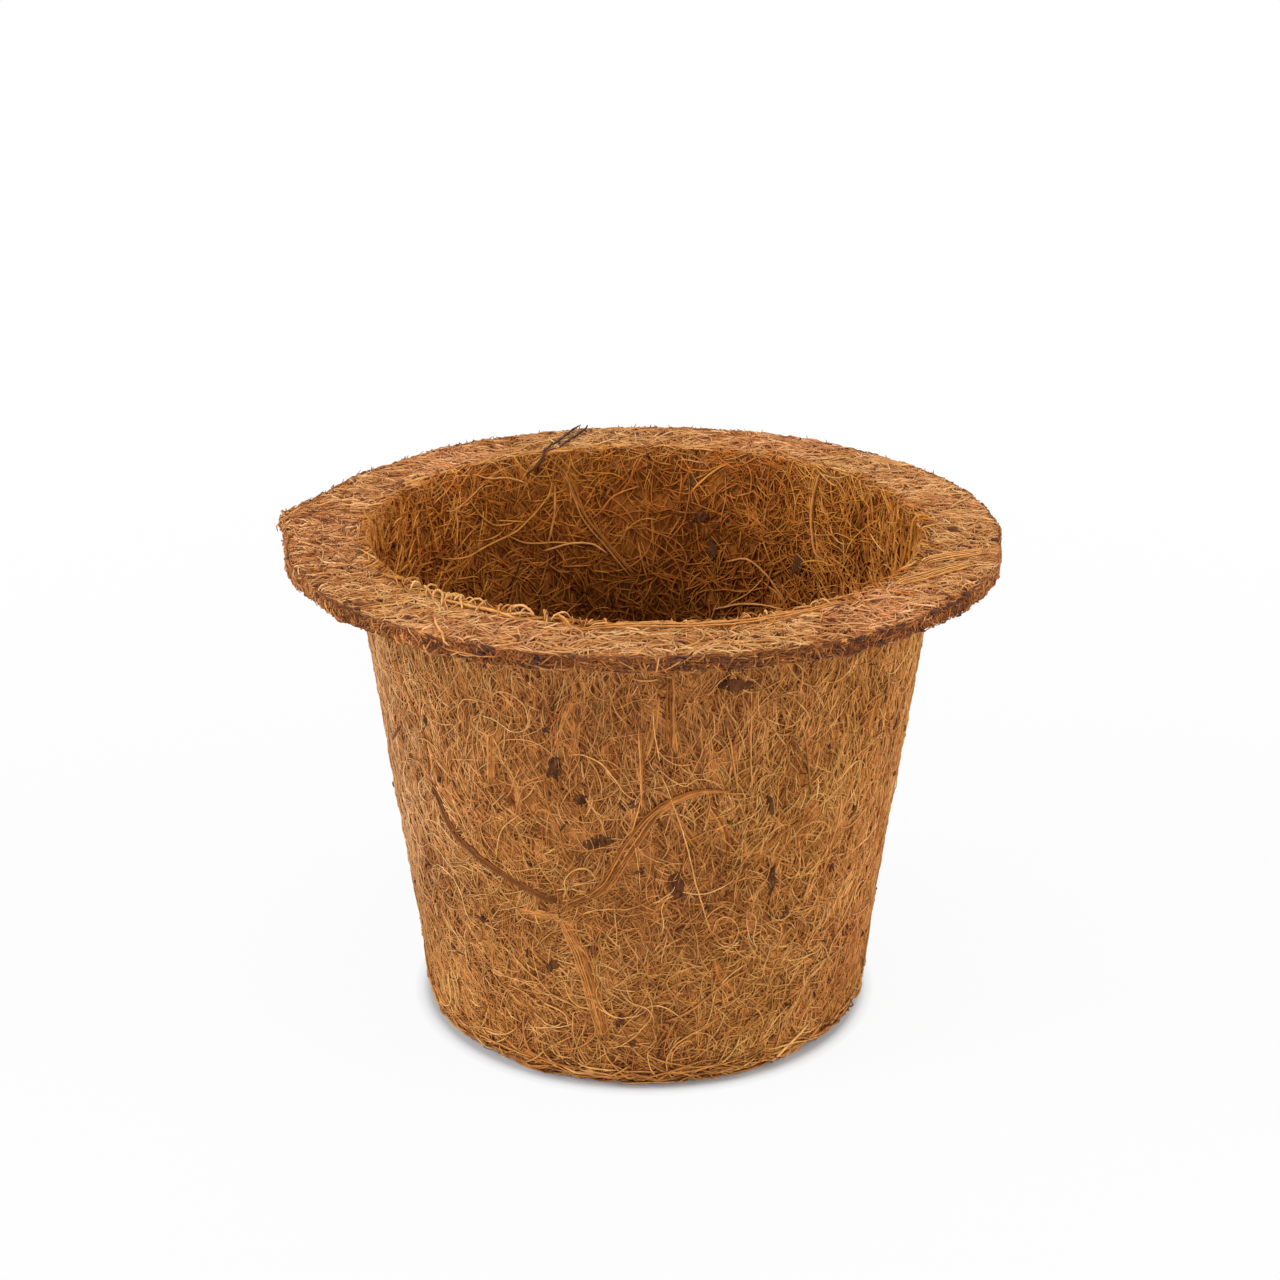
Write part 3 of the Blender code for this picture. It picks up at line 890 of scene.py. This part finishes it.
def add_rim_fibres(finish):
    flange_batch = partial(Batch, FLANGE_START, RIM_START - 0.05, heading=flange_heading, inside=True)
    left = (148, 212)
    fibres(
        "flange_fibres", 2, finish, RIM_HUE,
        flange_batch(5600, 2.8, 6, 0.27, -0.25, -0.05, 0.04, 0.14, 0.46),
        flange_batch(2700, 3.4, 8, 0.23, -0.06, 0.08, 0.05, 0.26, 0.63),
        flange_batch(130, 1.2, 4, 0.5, 0, 0.05, 0, 0.1, 0.1, **FLECK),
        flange_batch(600, 3, 6, 0.26, -0.06, 0.06, 0.05, 0.2, 0.26, around=left),
    )
    under = Batch(RIM_END, WALL_START, 2600, 4.5, 6, 0.3, -0.2, 0.1, 0.12, 0.1, 0.42)
    fibres("flange_underside_fibres", 1, finish, PLAIN, under)
    edge_batch = partial(Batch, RIM_START, RIM_END, inside=True)
    # The edge's fibres are darker at the front than on the rest of the edge: partly dark cut fibre ends,
    # partly painted shade
    cut_and_shaded_front, rest_of_edge, frayed, tip = (-148, -32), (-32, 212), (30, 212), (166, 186)
    fibres(
        "rim_edge_fibres", 1, finish, RIM_HUE,
        edge_batch(900, 2.2, 6, 0.26, -0.2, 0, 0.03, 0.1, 0.16, level_heading, around=cut_and_shaded_front),
        edge_batch(1600, 2.2, 6, 0.26, -0.2, 0, 0.03, 0.1, 0.36, level_heading, around=rest_of_edge),
        edge_batch(450, 1.1, 5, 0.24, -0.1, 0.05, 0.05, 0.2, 0.22, upright_heading, around=cut_and_shaded_front),
        edge_batch(600, 1.1, 5, 0.24, -0.1, 0.05, 0.05, 0.2, 0.36, upright_heading, around=rest_of_edge),
        Batch(RIM_END, RIM_END + 1, 420, 1.7, 7, 0.22, 0, 0.15, 0.1, 0.2, 0.3),
        edge_batch(50, 1.2, 4, 0.6, 0, 0.1, 0.02, 0.1, 0.05, level_heading, around=cut_and_shaded_front, **FLECK),
        edge_batch(540, 1.8, 6, 0.2, 0, 0.1, 0.05, 0.2, 0.4, around=frayed, fray=0.7),
        edge_batch(160, 1.6, 6, 0.2, 0, 0.1, 0.05, 0.2, 0.3, around=cut_and_shaded_front, fray=0.6),
        Batch(RIM_START - 2, RIM_END, 90, 2.6, 8, 0.24, 0, 0.2, 0.05, 0.2, 0.5, around=tip, fray=1),
    )


def add_lip_fibres(finish):
    lip_batch = partial(Batch, LIP_START - 1, FLANGE_START)
    front_left, front = (-142, -104), (-104, -50)
    fibres(
        "lip_fibres", 1, finish, PLAIN,
        Batch(LIP_START - 3, FLANGE_START + 1, 1500, 3, 9, 0.22, -0.2, 0, 0.03, 0.2, 0.5, lip_heading),
        lip_batch(40, 3.2, 12, 0.28, 0, 0.2, 0.6, 0.3, 0.6, around=front_left),
        lip_batch(45, 3, 12, 0.24, 0, 0.2, 0.3, 0.3, 0.58, around=front),
        lip_batch(260, 5.5, 9, 0.26, -0.05, 0.1, 0.06, 0.15, 0.6, level_heading),
    )


def add_foot_fibres(finish):
    foot_batch = partial(Batch, heading=level_heading)
    fibres(
        "foot_fibres", 1, finish, PLAIN,
        foot_batch(WALL_END - 2, BASE_END, 1300, 4, 8, 0.28, -0.2, 0.1, 0.1, 0.14, 0.42, fray=0.4),
        foot_batch(WALL_END - 2.5, BASE_END, 240, 8, 14, 0.3, 0, 0.35, 0.15, 0.14, 0.5, fray=0.5),
        foot_batch(WALL_END - 1, BASE_END - 0.5, 260, 6, 12, 0.28, 0.15, 0.55, 0.2, 0.08, 0.48, fray=0.2),
        Batch(BASE_END - 1, BOTTOM_END, 1500, 6, 7, 0.3, -0.3, -0.15, 0.05, 0.1, 0.4),
    )


def add_fibres():
    outer = fibre_material("outer_fibre", 0.62, 0.04), "outer_felt"
    inner = fibre_material("inner_fibre", 0.6), "inner_felt"
    rim = fibre_material("rim_fibre", 0.66, 0.05), "rim_felt"
    add_wall_fibres(outer)
    add_lining_fibres(inner)
    add_rim_fibres(rim)
    add_lip_fibres(inner)
    add_foot_fibres(outer)


# Strands


def smooth_path(points, spacing):
    """A smooth row of places through these: angle in degrees, and distance along the profile."""
    marks = np.array(points, float)
    marks = np.concatenate((2 * marks[:1] - marks[1:2], marks, 2 * marks[-1:] - marks[-2:-1]))
    spots = []
    for before, start, end, after in zip(marks, marks[1:], marks[2:], marks[3:]):
        t = np.linspace(0, 1, 40, endpoint=False)[:, None]
        bend = (2 * before - 5 * start + 4 * end - after) * t**2
        turn = (3 * start - before - 3 * end + after) * t**3
        spots.append(0.5 * (2 * start + (end - before) * t + bend + turn))
    spots = np.concatenate((*spots, marks[-2:-1]))
    xyz = SKIN.at(np.radians(spots[:, 0]), spots[:, 1])
    length = running_total(np.linalg.norm(np.diff(xyz, axis=0), axis=1))
    even = np.linspace(0, length[-1], max(4, round(length[-1] / spacing)))
    return np.stack([np.interp(even, length, column) for column in spots.T], axis=-1)


def bundle(parts, points, width, lift, tint, threads=1, spread=0, narrow=0, free_end=0):
    """Adds a strand, or a flat bundle of threads side by side, along places on the skin. narrow is how
    much of its spread is gone at the far end, and free_end how far that end stands off the skin."""
    path = smooth_path(points, 0.5)
    rings = len(path)
    angle = np.radians(path[:, 0])
    radius = SKIN.radius(path[:, 1])
    across_angle = np.gradient(path[:, 1])
    across_v = -np.gradient(angle) * radius
    size = np.hypot(across_angle, across_v) + 1e-9
    across_angle, across_v = across_angle / size / radius, across_v / size
    share = np.linspace(-1, 1, rings)
    wave = np.cumsum(RNG.normal(0, THREAD_WANDER, (threads, rings)), axis=1)
    wave -= np.linspace(0, 1, rings) * wave[:, -1:]
    offset = (np.arange(threads) - (threads - 1) / 2)[:, None] * spread / max(threads - 1, 1)
    offset = offset * (1 - 0.4 * share**4) * (1 - narrow * np.clip(share, 0, 1)) + wave
    angles = angle + offset * across_angle
    vs = path[:, 1] + offset * across_v
    lifts = lift + THREAD_LEVEL * RNG.normal(0, 1, (threads, 1))
    lifts = lifts + THREAD_UNEVEN * RNG.normal(0, 1, (threads, rings))
    sunk = share < 0 if free_end else share < 2
    lifts = lifts - sunk * (lift + width) * np.abs(share) ** 14 + free_end * np.clip(share, 0, 1) ** 2
    thick = width / 2 * np.exp(RNG.normal(0, THREAD_WIDTHS, threads))[:, None]
    thick = thick * (1 - 0.6 * np.abs(share) ** 5)
    thick = thick * (1 + THREAD_KNOBBLE * RNG.normal(0, 1, (threads, rings)))
    unlike = 0.03 + 0.07 * (threads > 1) * min(1, tint / 0.3)
    tints = ramp_colours(np.clip(tint + unlike * RNG.normal(0, 1, threads), 0, 1))
    tubes(parts, angles, vs, lifts, thick, tints, 6)


def strand(name, points, finish, *look, **options):
    """A strand in place of the node of the same name."""
    parts = Parts()
    bundle(parts, points, *look, **options)
    parts.place(name, finish, name)


def wall_path(*points):
    """Places on the outer wall, from angles and distances below the flange."""
    return [(angle, on_wall(FLANGE_LOW - drop), *rest) for angle, drop, *rest in points]


def lining_path(*points):
    """Places on the inside wall, from angles and distances below the lip."""
    return [(angle, on_lining(LIP_TOP - drop), *rest) for angle, drop, *rest in points]


def lip_path(*points):
    """Places beside the lip, from angles and distances out."""
    return [(angle, FLANGE_START + out) for angle, out in points]


def rim_path(*points):
    """Places on the flange's top, from angles and shares of its breadth."""
    inner, outer = FLANGE_START + 0.8, RIM_START - 1.5
    return [(angle, inner + share * (outer - inner)) for angle, share in points]


def add_rim_strands(pale, dark):
    upper = rim_path((111.5, 0), (107.4, 0.45), (103.2, 1))
    lower = rim_path((108, 0.05), (105, 0.45), (101.5, 0.9))
    for name, points in (
        ("dark_rim_fibre_long", [*upper, (101.6, RIM_START - 0.2)]),
        ("dark_rim_fibre_short", [(109.5, FLANGE_START + 0.3), *lower, (100.4, RIM_START - 0.5)]),
    ):
        strand(name, points, dark, 0.36, 0.38, 0, free_end=0.15)
    inside_lip = [(118.6, LIP_START - 2.6), (115.6, LIP_START - 1.5)]
    to_long = [*inside_lip, (113.4, LIP_START + 0.2), (111.2, FLANGE_START + 1)]
    to_short = [*inside_lip, (112.6, LIP_START + 0.2), (109.2, FLANGE_START + 0.5)]
    on_edge = [(-80, RIM_START + 1), (-77, RIM_START + 1.1), (-74, RIM_START + 0.9)]
    parts = Parts()
    for points in (to_long, to_short):
        bundle(parts, points, 0.36, 0.4, 0.03)
    bundle(parts, on_edge, 0.4, 0, 0.03, threads=4, spread=1.1)
    parts.place("dark_rim_strands", dark)
    right_upper = rim_path((-23, 0), (-18.5, 0.35), (-13, 0.95))
    right_lower = rim_path((-36, 0.05), (-28, 0.4), (-20, 0.85))
    lip_left = lip_path((-131, 0.55), (-121, 0.55), (-113, 1.15))
    lip_front = lip_path((-103, 2.05), (-93, 0.55), (-70, 0.55), (-50, 0.55))
    for name, points, width, tint, threads, spread in (
        ("right_rim_strand_upper", right_upper, 0.24, 0.5, 4, 1.6),
        ("right_rim_strand_lower", right_lower, 0.24, 0.5, 4, 1.6),
        ("lip_strand_left", lip_left, 0.46, 0.58, 1, 0),
        ("lip_strand_front", lip_front, 0.32, 0.48, 2, 0.64),
    ):
        strand(name, points, pale, width, 0.32, tint, threads=threads, spread=spread)


def add_wall_strands(pale, dark):
    dark_leg = wall_path((-140.5, 23.8), (-135.5, 30), (-128.8, 33), (-119.3, 35.2), (-108, 37.6))
    strap_leg = wall_path(
        (-104.8, 37), (-98.3, 34.2), (-93, 28.2), (-87.5, 23.1), (-80, 20.5), (-72.5, 20.8)
    )
    pale_line = wall_path(
        (-88.1, 17), (-86.6, 18.3), (-84.7, 22), (-82.2, 26.7),
        (-80.5, 31.2), (-77.8, 37.2), (-75, 41.8),
    )
    upright = wall_path((-85.4, 4), (-85.1, 14.5))
    strand("dark_wall_strand", dark_leg, dark, 0.27, 0.25, 0.08, threads=4, spread=0.8)
    strand("flat_wall_strap", strap_leg, pale, 0.25, 0.18, 0.39, threads=8, spread=1.35, narrow=0.75)
    strand("pale_wall_strand", pale_line, pale, 0.19, 0.36, 0.62)
    strand("upright_wall_strand", upright, pale, 0.3, 0.28, 0.3, threads=3, spread=0.7)


def add_strips(pale):
    """Flat strips, each a few fibres that hang together side by side."""
    parts = Parts()
    on_faces = ((WALL_START + 3, WALL_END - 4, 110), (FLANGE_START + 2, RIM_START - 2, 40))
    for start, end, count in on_faces:
        for _ in range(count):
            angle, v = RNG.uniform(-math.pi, math.pi), RNG.uniform(start, end)
            mean, loose = wall_heading(np.array(angle), np.array(v))
            on_flange_top = start < WALL_START
            heading = RNG.uniform(0, math.pi) if on_flange_top else mean + 0.7 * loose * RNG.normal()
            half = RNG.uniform(2, 5)
            if on_flange_top:
                half = min(half, v - start + 1, end - v + 1)
            bow = RNG.normal(0, 0.25)
            points = []
            for along in (-half, 0, half):
                way = heading + bow * along / half
                degrees = math.degrees(angle + along * math.cos(way) / SKIN.radius(v))
                points.append((degrees, v + along * math.sin(way)))
            threads = int(RNG.integers(3, 7))
            tint = RNG.normal(STRIP_TINT, STRIP_TINTS)
            bundle(parts, points, STRIP_WIDTH, STRIP_LIFT, tint, threads, STRIP_SPACING * threads)
    parts.place("flat_strips", pale)


def add_strands():
    pale = fibre_material("pale_strand_fibre", 0.55), "pale_strand"
    dark = fibre_material("dark_strand_fibre", 0.5), "dark_strand"
    add_rim_strands(pale, dark)
    add_wall_strands(pale, dark)
    inside = lining_path((108.6, 3.1), (104.8, 10), (99.4, 14.7), (92.1, 20.2))
    strand("inner_wall_strand", inside, pale, 0.32, 0.28, 0.4, threads=3, spread=0.8)
    for name, strands, see in (
        ("wall_loose_strands", WALL_STRANDS, seen_on_wall),
        ("lining_loose_strands", LINING_STRANDS, seen_inside),
        ("rim_loose_strands", RIM_STRANDS, seen_on_flange),
    ):
        parts = Parts()
        for look, *pixels in strands.values():
            bundle(parts, [see(pixel) for pixel in pixels], *look)
        parts.place(name, pale)
    add_strips(pale)


# Husk flakes


def flake(name, angle, v, length, width, turn, finish):
    """A thin ragged flake on the skin, its length turned this many degrees from level."""
    rings, corners = 5, 22
    around = np.linspace(0, math.tau, corners, endpoint=False)
    shape = turned(around, 1.5, angle)
    ragged = 1.05 + 0.45 * noise(shape, 21) + 0.3 * noise(shape * 2.7, 22)
    cos_turn, sin_turn = math.cos(math.radians(turn)), math.sin(math.radians(turn))
    points = []
    for side in (1, -1):
        for ring in range(rings):
            share = (ring + 0.5) / rings if side > 0 else 1 - (ring + 0.5) / rings
            level = share * ragged * length / 2 * np.cos(around)
            across = share * ragged * width / 2 * np.sin(around)
            run = level * cos_turn - across * sin_turn
            rise = level * sin_turn + across * cos_turn
            angles = math.radians(angle) + run / SKIN.radius(v)
            lift = FLAKE_LIFT + FLAKE_HALF * side * math.sqrt(1 - share**2)
            lift = lift + FLAKE_WARP * noise(shape * (1 + share), 23)
            points.append(SKIN.at(angles, v - rise, lift))
    points = np.array(points) * MM
    mesh = bpy.data.meshes.new(name)
    shell = bmesh.new()
    rows = [[shell.verts.new(point) for point in row] for row in points]
    for row, below in zip(rows, rows[1:]):
        for i in range(corners):
            j = (i + 1) % corners
            shell.faces.new((row[i], row[j], below[j], below[i]))
    shell.faces.new(rows[0])
    shell.faces.new(rows[-1])
    bmesh.ops.recalc_face_normals(shell, faces=shell.faces)
    shell.to_mesh(mesh)
    shell.free()
    mesh.shade_smooth()
    place(name, mesh, finish, name)


def add_flakes():
    husk = felt_material("husk_flake", (0.040, 0.014, 0.006), (0.130, 0.046, 0.016)), "husk"
    # Angle in degrees, height or distance down, length, width, and degrees turned from level
    outside = wall_path(
        (-108, 17.9, 3.4, 2, 75), (-102.8, 21.8, 2.2, 1.5, 30), (-99.8, 27.8, 4, 2.2, 10),
        (-83.4, 34.1, 4.2, 2.4, 80), (-61.6, 35.4, 4.2, 1.4, 85), (-63.9, 23.7, 3.4, 1, 110),
        (-73.2, 6, 4.4, 1.8, -10),
    )
    near_foot = ((-111.2, 18.3, 2, 1.6, 60), (-95.7, 10.8, 2.6, 1.2, 85))
    outside += [(angle, on_wall(height), *rest) for angle, height, *rest in near_foot]
    inside = lining_path(
        (73.3, 15.7, 3.4, 1.6, 100), (76.5, 10.8, 2.8, 1.3, 10),
        (78.6, 5.4, 2.8, 1.4, 70), (50.4, 15.2, 3.2, 1.8, 80),
    )
    for family, flakes in (("wall_husk_flake", outside), ("inner_husk_flake", inside)):
        for i, measures in enumerate(flakes, start=1):
            flake(f"{family}_{i}", *measures, husk)


# Stage


def add_floor():
    """A floor that shows as white, with a soft shadow and a dark contact line."""
    bpy.ops.mesh.primitive_plane_add(size=6)
    floor = bpy.context.object
    floor.name = "floor"
    material, nodes, shader = new_material("floor_white")
    set_inputs(shader, {"Base Color": (FLOOR_GREY, FLOOR_GREY, FLOOR_GREY, 1), "Roughness": 0.9})
    white = add_node(nodes, "Emission")
    path = add_node(nodes, "LightPath")
    seen = combine(nodes, "ADD", path, "Is Camera Ray", path, "Is Glossy Ray")
    seen_all = combine(nodes, "ADD", seen, 0, path, "Is Transmission Ray")
    seen_all.use_clamp = True
    where = add_node(nodes, "TexCoord")
    away = add_node(nodes, "VectorMath", operation="LENGTH")
    join(where, "Object", away, 0)
    reach = add_node(nodes, "Math", operation="DIVIDE")
    reach.inputs[1].default_value = FLOOR_FADE * MM
    join(away, "Value", reach, 0)
    fade = add_node(nodes, "ValToRGB")
    stops = fade.color_ramp.elements
    stops[0].position = CONTACT_START / FLOOR_FADE
    stops[0].color = (0, 0, 0, 1)
    stops[1].position = 1
    stops.new(CONTACT_END / FLOOR_FADE).color = (NEARLY_WHITE, NEARLY_WHITE, NEARLY_WHITE, 1)
    join(reach, 0, fade, "Fac")
    share = combine(nodes, "MULTIPLY", fade, "Color", seen_all, 0)
    mixed = add_node(nodes, "MixShader")
    join(share, 0, mixed, 0)
    join(shader, 0, mixed, 1)
    join(white, 0, mixed, 2)
    join(mixed, 0, nodes["Material Output"], "Surface")
    floor.data.materials.append(material)


def add_lamp(name, place_at, size, power, colour=(1, 1, 1)):
    """A square soft lamp that faces the pot."""
    lamp = bpy.data.lights.new(name, "AREA")
    lamp.size = size
    lamp.energy = power
    lamp.color = colour
    made = new_object(name, lamp)
    made.location = place_at
    hold = made.constraints.new("TRACK_TO")
    hold.target = bpy.data.objects["camera_aim"]
    hold.track_axis = "TRACK_NEGATIVE_Z"
    hold.up_axis = "UP_Y"


def add_light():
    """Five soft lamps, and a white sky that also shows as white."""
    aim = new_object("camera_aim", None)
    aim.location = (0, 0, AIM_HEIGHT * MM)
    add_lamp("key", (0.1, -0.15, 0.8), size=0.5, power=2.1)
    add_lamp("left", (-0.72, -0.22, 0.5), size=0.4, power=6.3, colour=(0.97, 1, 1.07))
    add_lamp("right", (0.72, -0.22, 0.5), size=0.4, power=3.5)
    add_lamp("front", (0.1, -0.92, 0.19), size=0.34, power=5.3)
    add_lamp("back", (0.2, 0.85, 0.35), size=0.5, power=2.1)
    world = SCENE.world = bpy.data.worlds.new("studio")
    world.use_nodes = True
    nodes = world.node_tree.nodes
    light = nodes["Background"]
    set_inputs(light, {"Color": (1, 1, 1, 1), "Strength": SKY_STRENGTH})
    shown = add_node(nodes, "Background", {"Color": (1, 1, 1, 1)})
    path = add_node(nodes, "LightPath")
    mixed = add_node(nodes, "MixShader")
    join(path, "Is Camera Ray", mixed, 0)
    join(light, 0, mixed, 1)
    join(shown, 0, mixed, 2)
    join(mixed, 0, nodes["World Output"], "Surface")


def add_camera():
    """The camera stands in front of the pot and looks down on it."""
    lens = bpy.data.cameras.new("camera")
    lens.angle = CAMERA_ANGLE
    lens.shift_x = (IMAGE / 2 - AIM_PIXEL[0]) / IMAGE
    lens.shift_y = (AIM_PIXEL[1] - IMAGE / 2) / IMAGE
    lens.clip_start = 0.01
    camera = SCENE.camera = new_object("camera", lens)
    camera.location = EYE * MM
    camera.rotation_euler = (math.pi / 2 - CAMERA_RISE, 0, 0)


SCENE.view_settings.view_transform = "Standard"
add_camera()
add_light()
add_floor()
add_felt()
add_fibres()
add_strands()
add_flakes()
